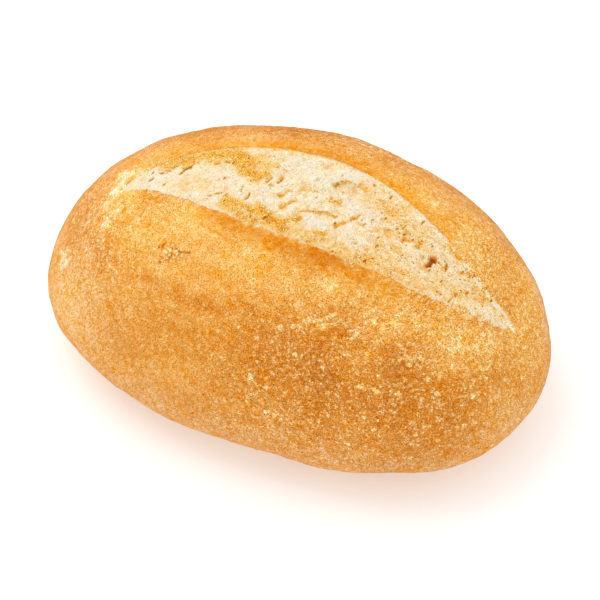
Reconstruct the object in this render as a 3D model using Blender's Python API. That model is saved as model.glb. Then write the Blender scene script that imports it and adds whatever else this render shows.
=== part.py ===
"""An oval wheat roll, slashed once along its crown, for Blender 4.5.

The crust is one closed body, flat where it sat on the baking tray. The slash has opened in the
oven into a long leaf-shaped valley with an uneven crumb bed, and its front edge has curled up
into a lip. Lengths are in metres, +Z is up, +X runs along the roll, and the origin is under
the middle of the roll on the surface it stands on.
"""
import math

import bmesh
import bpy
from mathutils import Vector, noise

MM = 0.001
SAME_PLACE = 0.001 * MM      # points closer than this are one point
SMOOTH_ANGLE = math.radians(40)

# The loaf
ROLL_LENGTH = 109.5 * MM
ROLL_WIDTH = 73.3 * MM
ROLL_HEIGHT = 51.9 * MM
WIDEST_HEIGHT = 12.7 * MM
UNDERSIDE_POWER = 2.2        # 2 is a round underside, more is a squarer one
BASE_CUT = 0.85              # share of the underside's depth that is left above the flat base
END_TAPER = 0.078            # how much wider the +X end is than the -X end
BOW = -0.077                 # how far both ends lean to -Y, as a share of half the width
CORNERS = (                  # slight swellings around the loaf: how many, how much, towards
    (3, 0.0052, math.radians(5)),
    (4, 0.0142, math.radians(-44)),
    (5, 0.0025, math.radians(22)),
    (6, 0.0048, math.radians(20)),
)
LOAF_CUTS = 19               # cuts along each edge of the cube that becomes the loaf

# The slash: points of its middle line from tip to tip, as seen from above
SLASH_LINE = (
    (-36.0 * MM, -7.4 * MM),
    (-32.0 * MM, -5.5 * MM),
    (-25.0 * MM, -4.2 * MM),
    (-12.0 * MM, -3.4 * MM),
    (8.0 * MM, -3.1 * MM),
    (20.0 * MM, -4.2 * MM),
    (34.0 * MM, -5.6 * MM),
    (44.0 * MM, -5.2 * MM),
    (49.5 * MM, -2.7 * MM),
)
SLASH_WIDTH = 22.6 * MM
LEFT_POWER = 2.3             # how blunt the slash's -X end is, and its +X end: more is blunter
RIGHT_POWER = 1.9
TIP_WIDTH = 0.6 * MM
SLASH_STEPS = 52             # crumb bed faces along the slash
SLASH_ROWS = 14              # crumb bed faces across it
CUTTER_TOP = 60.0 * MM

# The crumb bed
VALLEY_DEPTH = 2.6 * MM      # at the middle of the slash, under the line of the crust
FRONT_DEPTH = 1.5 * MM       # right behind the lip
BACK_DEPTH = 0.4 * MM        # where the bed meets the back crust almost flush
TEAR_RELIEF = 1.1 * MM       # rise and fall of the torn crumb
TEAR_SIZE = 7.0 * MM
TEAR_FALLOFF = 0.9           # how fast the finer levels of the relief die away
TEAR_STEP = 2.1              # how much finer each level is than the one before
TEAR_LEVELS = 3
POCKETS = (                  # gas pockets: share along, share across, width, depth
    (0.24, 0.70, 5.0 * MM, 1.0 * MM),
    (0.44, 0.62, 6.0 * MM, 1.4 * MM),
    (0.57, 0.55, 7.0 * MM, 1.6 * MM),
    (0.76, 0.45, 4.5 * MM, 3.2 * MM),
    (0.88, 0.50, 5.0 * MM, 1.2 * MM),
)

# The lip: the crust swells up to the front edge of the slash
LIP_RISE = 1.0 * MM
LIP_WIDTH = 6.0 * MM
LIP_INNER_WIDTH = 2.0 * MM   # strip inside the slash that has fine faces too
LIP_CUTS = 2                 # times that the faces near the lip are halved

CRUST_COLOUR = (0.76, 0.39, 0.12, 1.0)
CRUST_ROUGHNESS = 0.55
CRUMB_COLOUR = (0.88, 0.74, 0.50, 1.0)
CRUMB_ROUGHNESS = 0.9


def clear_scene():
    for item in list(bpy.data.objects):
        bpy.data.objects.remove(item, do_unlink=True)


def new_collection(name):
    group = bpy.data.collections.new(name)
    bpy.context.scene.collection.children.link(group)
    return group


def new_material(name, colour, roughness):
    material = bpy.data.materials.new(name)
    material.use_nodes = True
    shader = material.node_tree.nodes["Principled BSDF"]
    shader.inputs["Base Color"].default_value = colour
    shader.inputs["Roughness"].default_value = roughness
    shader.inputs["Metallic"].default_value = 0.0
    return material


def new_object(name, shape, group, material):
    """Turn a bmesh into an object with smooth sides."""
    mesh = bpy.data.meshes.new(name)
    bmesh.ops.recalc_face_normals(shape, faces=shape.faces)
    shape.to_mesh(mesh)
    shape.free()
    mesh.materials.append(material)
    mesh.shade_smooth()
    mesh.set_sharp_from_angle(angle=SMOOTH_ANGLE)
    item = bpy.data.objects.new(name, mesh)
    group.objects.link(item)
    return item


def corner_swell(bearing):
    """How much further than an oval the loaf reaches at a bearing around it, as a share."""
    return sum(much * math.cos(many * (bearing - towards)) for many, much, towards in CORNERS)


def loaf_point(direction):
    """The place on the loaf of a point on the unit sphere."""
    level = math.hypot(direction.x, direction.y)
    reach = 1.0
    rise = ROLL_HEIGHT - WIDEST_HEIGHT
    if direction.z < 0.0:
        squared = level ** UNDERSIDE_POWER + abs(direction.z) ** UNDERSIDE_POWER
        reach = squared ** (-1.0 / UNDERSIDE_POWER)
        rise = WIDEST_HEIGHT / BASE_CUT
    swell = 1.0 + corner_swell(math.atan2(direction.y, direction.x)) * level ** 2
    along = direction.x * reach * swell
    across = direction.y * reach * swell * (1.0 + END_TAPER * along) + BOW * along ** 2
    height = WIDEST_HEIGHT + rise * direction.z * reach
    return Vector((along * ROLL_LENGTH / 2, across * ROLL_WIDTH / 2, height))


def crown_height(x, y):
    """Height of the loaf's upper surface over a point of the plan."""
    along = x / (ROLL_LENGTH / 2)
    across = (y / (ROLL_WIDTH / 2) - BOW * along ** 2) / (1.0 + END_TAPER * along)
    swell = corner_swell(math.atan2(across, along))
    reach = math.hypot(along, across)
    level = min(reach, 1.0)
    for _ in range(5):
        level = min(reach / (1.0 + swell * level ** 2), 1.0)
    return WIDEST_HEIGHT + (ROLL_HEIGHT - WIDEST_HEIGHT) * math.sqrt(1.0 - level ** 2)


def line_slope(index):
    """Slope of the slash's middle line at one of its points."""
    before = SLASH_LINE[max(index - 1, 0)]
    after = SLASH_LINE[min(index + 1, len(SLASH_LINE) - 1)]
    return (after[1] - before[1]) / (after[0] - before[0])


def slash_middle(x):
    """Y of the slash's middle line at a place along the roll: a cubic through its points."""
    x = min(max(x, SLASH_LINE[0][0]), SLASH_LINE[-1][0])
    index = max(at for at, point in enumerate(SLASH_LINE[:-1]) if point[0] <= x)
    start, end = SLASH_LINE[index], SLASH_LINE[index + 1]
    step = end[0] - start[0]
    t = (x - start[0]) / step
    return (
        start[1] * (2 * t ** 3 - 3 * t ** 2 + 1)
        + line_slope(index) * step * (t ** 3 - 2 * t ** 2 + t)
        + end[1] * (3 * t ** 2 - 2 * t ** 3)
        + line_slope(index + 1) * step * (t ** 3 - t ** 2)
    )


def slash_fullness(x):
    """How open the slash is at a place along the roll: 1 at its middle, 0 at its tips."""
    left, right = SLASH_LINE[0][0], SLASH_LINE[-1][0]
    from_middle = (2 * x - left - right) / (right - left)
    power = LEFT_POWER if from_middle < 0.0 else RIGHT_POWER
    return max(1.0 - abs(from_middle) ** power, 0.0)


def slash_half_width(x):
    return (TIP_WIDTH + (SLASH_WIDTH - TIP_WIDTH) * slash_fullness(x)) / 2


def slash_point(share, side):
    """Point of the plan inside the slash: side runs from -1 at the front edge to 1 at the back."""
    left, right = SLASH_LINE[0][0], SLASH_LINE[-1][0]
    x = left + (right - left) * (1.0 - math.cos(math.pi * share)) / 2
    return Vector((x, slash_middle(x) + side * slash_half_width(x)))


def lip_height(x, y):
    """How far the crust is swollen by the lip at a point of the plan."""
    from_edge = abs(slash_middle(x) - slash_half_width(x) - y)
    near = max(1.0 - from_edge / LIP_WIDTH, 0.0)
    rounded = near ** 2 * (3.0 - 2.0 * near)
    return LIP_RISE * rounded * math.sqrt(slash_fullness(x))


def pocket_depth(x, y):
    """How far the gas pockets sink the crumb at a point of the plan."""
    depth = 0.0
    for share, across, width, deep in POCKETS:
        middle = slash_point(share, 2 * across - 1)
        away = math.hypot(x - middle.x, y - middle.y) / (width / 2)
        depth += deep * math.exp(-away ** 2)
    return depth


def bed_point(share, side):
    """Point of the crumb bed, under the line that the crust would have taken."""
    plan = slash_point(share, side)
    fullness = slash_fullness(plan.x)
    front_depth = BACK_DEPTH + (FRONT_DEPTH - BACK_DEPTH) * fullness
    edge_depth = front_depth + (BACK_DEPTH - front_depth) * (side + 1) / 2
    inside = 1.0 - side ** 2
    depth = edge_depth + (VALLEY_DEPTH - edge_depth) * inside * fullness
    place = Vector((plan.x, plan.y, 0.0)) / TEAR_SIZE
    torn = noise.fractal(place, TEAR_FALLOFF, TEAR_STEP, TEAR_LEVELS)
    depth += (pocket_depth(plan.x, plan.y) + TEAR_RELIEF * torn) * inside * fullness
    return Vector((plan.x, plan.y, crown_height(plan.x, plan.y) - depth))


def is_near_lip(vertex):
    place = loaf_point(vertex.co.normalized())
    outside = slash_middle(place.x) - slash_half_width(place.x) - place.y
    beside_slash = place.z > WIDEST_HEIGHT and slash_fullness(place.x) > 0.0
    return beside_slash and -LIP_INNER_WIDTH < outside < LIP_WIDTH


def make_ball():
    """A cube blown up into a ball of even faces, finer where the lip will be."""
    shape = bmesh.new()
    bmesh.ops.create_cube(shape, size=2.0)
    bmesh.ops.subdivide_edges(shape, edges=shape.edges[:], cuts=LOAF_CUTS, use_grid_fill=True)
    for vertex in shape.verts:
        even = Vector(math.tan(part * math.pi / 4) for part in vertex.co)
        vertex.co = even.normalized()
    for _ in range(LIP_CUTS):
        fine = {vertex for vertex in shape.verts if is_near_lip(vertex)}
        edges = [edge for edge in shape.edges if fine.intersection(edge.verts)]
        bmesh.ops.subdivide_edges(shape, edges=edges, cuts=1, use_grid_fill=True)
    return shape


def make_loaf(group, material):
    """The ball shaped into the loaf, with its lip, and cut flat where it stands."""
    shape = make_ball()
    for vertex in shape.verts:
        vertex.co = loaf_point(vertex.co.normalized())
        if vertex.co.z > WIDEST_HEIGHT:
            vertex.co.z += lip_height(vertex.co.x, vertex.co.y)
    everything = shape.verts[:] + shape.edges[:] + shape.faces[:]
    down = Vector((0.0, 0.0, -1.0))
    bmesh.ops.bisect_plane(
        shape,
        geom=everything,
        dist=SAME_PLACE,
        plane_co=(0.0, 0.0, 0.0),
        plane_no=down,
        clear_outer=True,
    )
    rim = [edge for edge in shape.edges if edge.is_boundary]
    bmesh.ops.contextual_create(shape, geom=rim)
    return new_object("bread_roll", shape, group, material)


def make_slash_cutter(group, material):
    """A leaf-shaped block whose underside is the crumb bed."""
    shape = bmesh.new()
    bmesh.ops.create_grid(shape, x_segments=SLASH_STEPS, y_segments=SLASH_ROWS, size=1.0)
    for vertex in shape.verts:
        vertex.co = bed_point((vertex.co.x + 1) / 2, vertex.co.y)
    risen = bmesh.ops.extrude_face_region(shape, geom=shape.faces[:])["geom"]
    for vertex in risen:
        if isinstance(vertex, bmesh.types.BMVert):
            vertex.co.z = CUTTER_TOP
    return new_object("slash_cutter", shape, group, material)


def cut_slash(loaf, cutter):
    """Cut the slash, whose faces keep the crumb's material."""
    cutter.display_type = "WIRE"
    cutter.hide_render = True
    modifier = loaf.modifiers.new("slash", "BOOLEAN")
    modifier.object = cutter
    modifier.operation = "DIFFERENCE"
    modifier.solver = "EXACT"
    modifier.material_mode = "TRANSFER"


def centre_on_origin(items):
    """Hang everything from an empty, so that the loaf's middle stands over the origin."""
    points = [vertex.co for vertex in items[0].data.vertices]
    empty = bpy.data.objects.new("roll_middle", None)
    bpy.context.scene.collection.objects.link(empty)
    for axis in (0, 1):
        reach = [point[axis] for point in points]
        empty.location[axis] = -(min(reach) + max(reach)) / 2
    for item in items:
        item.parent = empty


def main():
    clear_scene()
    parts = new_collection("bread_roll")
    cutters = new_collection("cutters")
    crust = new_material("baked_crust", CRUST_COLOUR, CRUST_ROUGHNESS)
    crumb = new_material("torn_crumb", CRUMB_COLOUR, CRUMB_ROUGHNESS)
    loaf = make_loaf(parts, crust)
    cutter = make_slash_cutter(cutters, crumb)
    cut_slash(loaf, cutter)
    centre_on_origin((loaf, cutter))


main()
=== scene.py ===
# %% [markdown]
# # A slashed wheat roll
#
# A baker shapes a ball of dough into an oval, cuts it once along the top and bakes it on a flat
# tray. The cut opens in the oven: its front edge curls up into a lip and the white inside tears.
# Two pieces make the roll here: the **crust**, a closed skin round the whole loaf with the open
# slash in it, and the **crumb**, the torn bed that shows in the slash.
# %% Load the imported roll
import math

import bpy
import numpy as np
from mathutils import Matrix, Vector, noise


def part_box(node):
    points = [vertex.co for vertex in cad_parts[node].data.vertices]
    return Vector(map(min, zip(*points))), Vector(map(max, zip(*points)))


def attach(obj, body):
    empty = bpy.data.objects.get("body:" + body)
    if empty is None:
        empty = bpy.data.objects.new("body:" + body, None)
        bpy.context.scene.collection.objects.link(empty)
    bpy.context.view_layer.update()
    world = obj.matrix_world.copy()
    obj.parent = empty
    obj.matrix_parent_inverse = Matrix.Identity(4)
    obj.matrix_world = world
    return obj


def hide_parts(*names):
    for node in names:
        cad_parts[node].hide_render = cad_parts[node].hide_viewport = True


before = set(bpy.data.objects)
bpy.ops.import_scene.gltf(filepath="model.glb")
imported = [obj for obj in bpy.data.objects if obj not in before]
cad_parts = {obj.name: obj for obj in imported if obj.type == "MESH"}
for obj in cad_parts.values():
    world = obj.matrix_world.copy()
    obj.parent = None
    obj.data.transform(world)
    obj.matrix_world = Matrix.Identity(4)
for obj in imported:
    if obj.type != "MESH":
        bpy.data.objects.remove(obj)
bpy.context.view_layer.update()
MM = 0.001
low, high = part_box("bread_roll")
print("roll, mm:", [round(side / MM, 1) for side in high - low])

# %% [markdown]
# Points are handled as one table of numbers, a row for each vertex, because a crust has a hundred
# thousand of them. These helpers read a mesh's points and put them back. Everything is deselected
# before a new primitive, so that an edit-mode tool only ever touches that primitive.
# %% Helpers for meshes
def start_fresh():
    if bpy.context.object and bpy.context.object.mode != "OBJECT":
        bpy.ops.object.mode_set(mode="OBJECT")
    bpy.ops.object.select_all(action="DESELECT")


def read_vectors(piece, field):
    flat = np.empty(len(piece.data.vertices) * 3)
    piece.data.vertices.foreach_get(field, flat)
    return flat.reshape(-1, 3)


def read_points(piece):
    return read_vectors(piece, "co")


def read_normals(piece):
    return read_vectors(piece, "normal")


def write_points(piece, points):
    piece.data.vertices.foreach_set("co", points.ravel())
    piece.data.update()


def store(piece, name, values):
    """Keep one number for each vertex, for the material to read."""
    attribute = piece.data.attributes.new(name, "FLOAT", "POINT")
    attribute.data.foreach_set("value", np.asarray(values, dtype=np.float32))
    print(f"{piece.name}.{name}: {np.min(values):.2f} to {np.max(values):.2f}")


def choose(piece):
    start_fresh()
    bpy.context.view_layer.objects.active = piece
    piece.select_set(True)


def edit(piece):
    choose(piece)
    bpy.ops.object.mode_set(mode="EDIT")


def face_outwards():
    bpy.ops.mesh.select_all(action="SELECT")
    bpy.ops.mesh.normals_make_consistent(inside=False)


def apply_modifiers(piece):
    choose(piece)
    for modifier in list(piece.modifiers):
        bpy.ops.object.modifier_apply(modifier=modifier.name)


# %% [markdown]
# Eight small tools for numbers. `soft_step` goes from 0 to 1 without a corner. `rough` is fractal
# noise read at every point: big slow waves with smaller, quicker ones on top. `patch` is a soft
# spot round a place. `smoothed` evens a map out over the mesh. `drawn_out` stretches a pattern
# along one bearing, and `warp` shifts points unevenly, so that what is measured from them looks
# torn. `line_distance` says how far every point lies from a bent line, and `stroke` is a soft
# mark along one. Sizes are in millimetres.
# %% Helpers for numbers
def soft_step(start, end, values):
    share = np.clip((values - start) / (end - start), 0.0, 1.0)
    return share * share * (3.0 - 2.0 * share)


def rough(points, size, levels=3, shift=0.0):
    scaled = points / (size * MM) + shift
    return np.array([noise.fractal(row, 1.0, 2.0, levels) for row in scaled.tolist()])


def patch(points, at, reach):
    """1 at a place, fading to 0 around it; reach may differ by axis."""
    away = (points[:, :len(at)] / MM - np.array(at)) / np.array(reach)
    return np.exp(-(away ** 2).sum(1))


def smoothed(piece, values, times):
    """Average every vertex's value with its neighbours', several times over."""
    ends = np.empty(len(piece.data.edges) * 2, dtype=np.int32)
    piece.data.edges.foreach_get("vertices", ends)
    first, second = ends.reshape(-1, 2).T
    many = len(values)
    shares = np.bincount(ends, minlength=many) + 1
    for _ in range(times):
        from_first = np.bincount(second, values[first], many)
        from_second = np.bincount(first, values[second], many)
        values = (values + from_first + from_second) / shares
    return values


def drawn_out(points, turn, share):
    """Squeeze the plan, so that a pattern is drawn out along a bearing in degrees."""
    cos, sin = math.cos(math.radians(turn)), math.sin(math.radians(turn))
    x, y, z = points.T
    return np.stack([(x * cos + y * sin) * share, y * cos - x * sin, z], axis=1)


def warp(points, size, much):
    """Shift every point a little and unevenly."""
    shifts = [rough(points, size, 3, seed) for seed in (3.1, 5.7, 9.2)]
    return points + much * MM * np.stack(shifts, axis=1)


def line_distance(points, line):
    """Distance in mm from every point to a line of straight pieces."""
    line = np.array(line, dtype=float)
    points = points[:, :line.shape[1]] / MM
    nearest = np.full(len(points), np.inf)
    for start, end in zip(line[:-1], line[1:]):
        piece = end - start
        share = np.clip((points - start) @ piece / (piece @ piece), 0, 1)
        offset = points - start - share[:, None] * piece
        nearest = np.minimum(nearest, np.linalg.norm(offset, axis=1))
    return nearest


def stroke(points, line, width):
    """1 on a line, fading to 0 on both sides of it."""
    return np.exp(-(line_distance(points, line) / width) ** 2)


# %% [markdown]
# Steam makes bubbles, both under the crust's skin and in the crumb. Voronoi noise scatters one
# centre in each cell of a loose lattice. Each centre gets its own luck, which decides whether a
# bubble sits there and how big it is.
# %% Bubbles
def bubbles(points, spacing, share, shift=0.0):
    """How deep each point lies in its bubble: 0 outside and at the rim, 1 at the centre."""
    depth = np.zeros(len(points))
    for index, row in enumerate((points / (spacing * MM) + shift).tolist()):
        distances, centres = noise.voronoi(row)
        luck = (noise.cell(centres[0] * 61.0) + 1) / 2
        radius = 0.46 - 0.28 * luck / share
        if luck < share and distances[0] < radius:
            depth[index] = 1 - distances[0] / radius
    return depth


def dome(depth):
    """A round cap over a bubble."""
    return np.sqrt(depth * (2 - depth))


# %% [markdown]
# ## The loaf
#
# Dough that rises on a tray becomes a squashed ball: half an oval above its widest level, a
# squarer and shallower half below it, and a flat base. Hand shaping leaves it a little wider at
# one end, bowed, and with four soft corners. A ball primitive stretched to size gives the oval,
# and one function then kneads in the rest, because no single tool makes such small departures.
# %% Sizes of the loaf
ROLL_LENGTH = 109.5 * MM
ROLL_WIDTH = 73.3 * MM
ROLL_HEIGHT = 51.9 * MM
WIDEST_HEIGHT = 12.7 * MM
UNDERSIDE_POWER = 2.2
BASE_CUT = 0.85
END_TAPER = 0.078
BOW = -0.077
# Swellings round the loaf, fitted to its outline: how many, how much, and towards which bearing.
CORNERS = ((3, 0.0052, 5), (4, 0.0142, -44), (5, 0.0025, 22), (6, 0.0048, 20))


def corner_swell(bearing):
    """How much further than an oval the loaf reaches, for each bearing around it."""
    return sum(much * np.cos(many * (bearing - math.radians(at))) for many, much, at in CORNERS)


def knead(ball):
    """Take points of a ball of radius 1 to their places on the loaf."""
    x, y, z = ball.T
    level = np.hypot(x, y)
    squared = level ** UNDERSIDE_POWER + np.abs(z) ** UNDERSIDE_POWER
    reach = np.where(z < 0, squared ** (-1 / UNDERSIDE_POWER), 1.0)
    rise = np.where(z < 0, WIDEST_HEIGHT / BASE_CUT, ROLL_HEIGHT - WIDEST_HEIGHT)
    swell = 1 + corner_swell(np.arctan2(y, x)) * level ** 2
    along = x * reach * swell
    across = y * reach * swell * (1 + END_TAPER * along) + BOW * along ** 2
    height = WIDEST_HEIGHT + rise * z * reach
    return np.stack([along * ROLL_LENGTH / 2, across * ROLL_WIDTH / 2, height], axis=1)


def crown_height(x, y):
    """Height of the loaf's top over points of the plan."""
    along = x / (ROLL_LENGTH / 2)
    across = (y / (ROLL_WIDTH / 2) - BOW * along ** 2) / (1 + END_TAPER * along)
    swell = corner_swell(np.arctan2(across, along))
    reach = np.hypot(along, across)
    level = np.minimum(reach, 1.0)
    for _ in range(5):
        level = np.minimum(reach / (1 + swell * level ** 2), 1.0)
    return WIDEST_HEIGHT + (ROLL_HEIGHT - WIDEST_HEIGHT) * np.sqrt(1 - level ** 2)


def on_crown(line):
    """Lift a line of the plan, in mm, onto the loaf's top."""
    plan = np.array(line, dtype=float)
    return np.column_stack([plan, crown_height(*plan.T * MM) / MM])


# %% [markdown]
# ## The slash
#
# Seen from above, the slash is a leaf: a gently bent middle line, widest near the middle of the
# roll and closed at both tips. Its edges tore open, so they wander by a few tenths of a
# millimetre. The same few functions give the cutter, the lip and the crumb their places.
# %% The outline of the slash
SLASH_LINE = np.array([
    (-36.4, -7.6),
    (-32.0, -5.5),
    (-25.0, -4.2),
    (-12.0, -3.4),
    (8.0, -3.1),
    (20.0, -4.2),
    (34.0, -5.6),
    (44.0, -5.0),
    (46.8, -3.9),
    (48.0, -3.2),
]) * MM
SLASH_WIDTH = 22.6 * MM
LEFT_POWER, RIGHT_POWER = 2.05, 1.9
TIP_WIDTH = 0.6 * MM
SLASH_START, SLASH_END = SLASH_LINE[0, 0], SLASH_LINE[-1, 0]
EDGE_WANDER = 0.35 * MM
EDGE_FRAY = 0.18 * MM


def slash_middle(x):
    """Y of the slash's middle line: a cubic through its points."""
    line_x, line_y = SLASH_LINE.T
    slopes = np.gradient(line_y, line_x)
    x = np.clip(x, SLASH_START, SLASH_END)
    index = np.clip(np.searchsorted(line_x, x, side="right") - 1, 0, len(line_x) - 2)
    step = line_x[index + 1] - line_x[index]
    t = (x - line_x[index]) / step
    return (
        line_y[index] * (2 * t ** 3 - 3 * t ** 2 + 1)
        + slopes[index] * step * (t ** 3 - 2 * t ** 2 + t)
        + line_y[index + 1] * (3 * t ** 2 - 2 * t ** 3)
        + slopes[index + 1] * step * (t ** 3 - t ** 2)
    )


def slash_fullness(x):
    """How open the slash is: 1 at its middle, 0 at its tips and beyond."""
    from_middle = (2 * x - SLASH_START - SLASH_END) / (SLASH_END - SLASH_START)
    power = np.where(from_middle < 0, LEFT_POWER, RIGHT_POWER)
    return np.clip(1 - np.abs(from_middle) ** power, 0.0, 1.0)


def slash_edge(x, side):
    """Y of the slash's edge: side is -1 for the front edge and 1 for the back one."""
    fullness = slash_fullness(x)
    half = (TIP_WIDTH + (SLASH_WIDTH - TIP_WIDTH) * fullness) / 2
    row = np.stack([x, np.full_like(x, side * 50 * MM), np.zeros_like(x)], axis=1)
    wander = (rough(row, 7, 3) * EDGE_WANDER + rough(row, 2, 2) * EDGE_FRAY) * np.sqrt(fullness)
    return slash_middle(x) + side * half + wander


# The outline is read many times, so both edges are worked out once, finely.
OUTLINE_X = np.linspace(SLASH_START, SLASH_END, 1200)
OUTLINE_FRONT = slash_edge(OUTLINE_X, -1)
OUTLINE_BACK = slash_edge(OUTLINE_X, 1)
print("slash, mm:", round((SLASH_END - SLASH_START) / MM, 1), "x", SLASH_WIDTH / MM)


def beyond_front(x, y):
    """How far outside the front edge a point of the plan lies (inside is negative)."""
    return np.interp(x, OUTLINE_X, OUTLINE_FRONT) - y


def beyond_back(x, y):
    return y - np.interp(x, OUTLINE_X, OUTLINE_BACK)


def beyond_slash(x, y):
    """How far outside the whole slash a point lies."""
    ends = np.maximum(SLASH_START - x, x - SLASH_END)
    return np.maximum(np.maximum(beyond_front(x, y), beyond_back(x, y)), ends)


# %% [markdown]
# ## The crust's form
#
# A cube, finely subdivided and pushed out to a sphere, has even faces and no poles, so it is a
# better start than a UV sphere for a surface that will carry fine relief. Its points are first
# spread by a tangent, because a plain cube gives a sphere with crowded corners.
# %% A ball of dough
BALL_CUTS = 79


def make_ball():
    start_fresh()
    bpy.ops.mesh.primitive_cube_add(size=2)
    ball = bpy.context.object
    ball.name = "crust"
    ball.data.name = "crust"
    edit(ball)
    bpy.ops.mesh.subdivide(number_cuts=BALL_CUTS)
    bpy.ops.object.mode_set(mode="OBJECT")
    even = np.tan(read_points(ball) * math.pi / 4)
    write_points(ball, even)
    edit(ball)
    bpy.ops.transform.tosphere(value=1)
    bpy.ops.object.mode_set(mode="OBJECT")
    return ball


crust = make_ball()
print("ball:", len(crust.data.polygons), "faces")

# %% [markdown]
# The ball's points now go to their places on the loaf, where the front edge of the slash swells
# into a lip. A bisect with fill makes the flat base that stood on the tray.
# %% The loaf
LIP_RISE = 1.0 * MM
LIP_WIDTH = 6.0 * MM


def lip_height(x, y):
    """The crust swells up towards the front edge of the slash."""
    near = np.maximum(1 - np.abs(beyond_front(x, y)) / LIP_WIDTH, 0.0)
    return LIP_RISE * near ** 2 * (3 - 2 * near) * np.sqrt(slash_fullness(x))


directions = read_points(crust)
directions /= np.linalg.norm(directions, axis=1)[:, None]
loaf = knead(directions)
on_top = loaf[:, 2] > WIDEST_HEIGHT
loaf[on_top, 2] += lip_height(loaf[on_top, 0], loaf[on_top, 1])
write_points(crust, loaf)
edit(crust)
bpy.ops.mesh.select_all(action="SELECT")
bpy.ops.mesh.bisect(plane_co=(0, 0, 0), plane_no=(0, 0, -1), use_fill=True, clear_outer=True)
bpy.ops.object.mode_set(mode="OBJECT")
loaf = read_points(crust)
MIDDLE = np.append((loaf.min(0)[:2] + loaf.max(0)[:2]) / 2, 0.0)
print("loaf:", len(crust.data.polygons), "faces, middle at mm", np.round(MIDDLE / MM, 2))

# %% [markdown]
# ## Opening the slash
#
# The slash is cut as a baker would cut it, with a blade-shaped block and a Boolean. The block is
# a grid bent to the leaf's outline and extruded upwards. The cut goes a little deeper than the
# crumb bed will lie. Then a voxel remesh gives the whole crust even faces of about half a
# millimetre, fine enough for blisters, and rounds the cut edge as thinly as real crust.
# %% Cut the slash
SLASH_DEPTH = 4.5 * MM
CUTTER_TOP = 60 * MM
CUTTER_STEPS, CUTTER_ROWS = 240, 12
CUTTER_RISE_AT_SIDES = 0.6
VOXEL = 0.54 * MM


def across_slash(share, side):
    """Points of the plan in the slash, by the share along it and the side from -1 to 1."""
    x = SLASH_START + (SLASH_END - SLASH_START) * (1 - np.cos(math.pi * share)) / 2
    front = np.interp(x, OUTLINE_X, OUTLINE_FRONT)
    back = np.interp(x, OUTLINE_X, OUTLINE_BACK)
    return x, front + (back - front) * (side + 1) / 2


start_fresh()
bpy.ops.mesh.primitive_grid_add(x_subdivisions=CUTTER_STEPS, y_subdivisions=CUTTER_ROWS, size=2)
cutter = bpy.context.object
grid = read_points(cutter)
x, y = across_slash((grid[:, 0] + 1) / 2, grid[:, 1])
depth = SLASH_DEPTH * np.sqrt(slash_fullness(x)) * (1 - CUTTER_RISE_AT_SIDES * grid[:, 1] ** 4)
write_points(cutter, np.stack([x, y, crown_height(x, y) - depth], axis=1))
edit(cutter)
bpy.ops.mesh.select_all(action="SELECT")
bpy.ops.mesh.extrude_region_move(TRANSFORM_OT_translate={"value": (0, 0, CUTTER_TOP)})
face_outwards()
bpy.ops.object.mode_set(mode="OBJECT")
cut = crust.modifiers.new("slash", "BOOLEAN")
cut.object = cutter
cut.operation = "DIFFERENCE"
cut.solver = "EXACT"
apply_modifiers(crust)
bpy.data.objects.remove(cutter)
even_out = crust.modifiers.new("even faces", "REMESH")
even_out.mode = "VOXEL"
even_out.voxel_size = VOXEL
apply_modifiers(crust)
print("crust:", len(crust.data.polygons), "faces")

# %% [markdown]
# ## The crust's relief
#
# Raw dough isn't smooth. It has slow hollows from the hands, and one long crease where it was
# rolled up: the dough bulges above that line and sinks below it. The skin is wrinkled in front of
# the slash's far end, one blister near the other end has burst and cracked, and hundreds of tiny
# bubbles of steam sit under the skin. Each is worked out as a height for every vertex and added
# along the surface's own direction.
# %% Places on the crust, in mm
CREASE = on_crown([(-22, -25), (-14, -26.5), (-7, -27.4), (2, -27.3), (12, -28.0), (20, -28.5)])
WRINKLES = [on_crown(line) for line in (
    [(10, -27.3), (12.2, -26.1), (14.2, -24.8)],
    [(14.2, -25.4), (16, -24.2), (17.6, -23)],
    [(15.5, -25.4), (18.2, -24.4)],
    [(20.7, -26), (21.8, -25), (23.3, -23.1)],
    [(24, -23), (26.8, -21.2), (29.2, -19.4)],
    [(19.9, -20.2), (21.2, -17.9)],
    [(22.9, -20.5), (23.9, -19.5)],
    [(30.1, -24.9), (33, -23.1), (36, -21.6)],
    [(41, -16.3), (42.5, -15.1)],
    [(24.7, -30.1), (27.2, -29.4), (29.8, -28.5)],
    [(31.5, -27.7), (33.4, -27.8)],
)]
CRACKED_BLISTER = (-18.8, -20.9, 41.9)
CRACKS = [on_crown(line) for line in (
    [(-22.2, -21.4), (-20.7, -19.6), (-19.1, -19.2), (-17.9, -20.1), (-15.9, -20.4)],
    [(-15.9, -20.4), (-14.6, -21.2), (-13.6, -21)],
    [(-22, -21.9), (-19.7, -22.1), (-18.6, -22.2), (-18.3, -21), (-17.9, -20.1)],
)]


def nearest(points, lines):
    return np.min([line_distance(points, line) for line in lines], axis=0)


# %% [markdown]
# Creases and cracks are measured from warped points, so that none is a clean line. Each part of
# the relief is a height in mm, and their sum moves every vertex along its own normal. The base
# stood on the tray, so it only has small pocks.
# %% Raise the relief
HOLLOWS, DIMPLES = 0.45, 0.12
BULGE, CREASE_DEPTH, WRINKLE_HEIGHT = 0.45, 0.30, 0.20
BLISTER_HEIGHT, CRUMBLE_HEIGHT, CRACK_DEPTH = 0.40, 0.22, 0.18
LARGE_BUBBLE, SMALL_BUBBLE = 0.10, 0.06
POCK_DEPTH = 0.30
points = read_points(crust)
normals = read_normals(crust)
x, y, z = points.T
outside = beyond_slash(x, y)
skin = np.clip(soft_step(-0.3 * MM, 0.4 * MM, outside) + (z < WIDEST_HEIGHT), 0, 1)
above_base = soft_step(0.2 * MM, 3 * MM, z)

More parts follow.
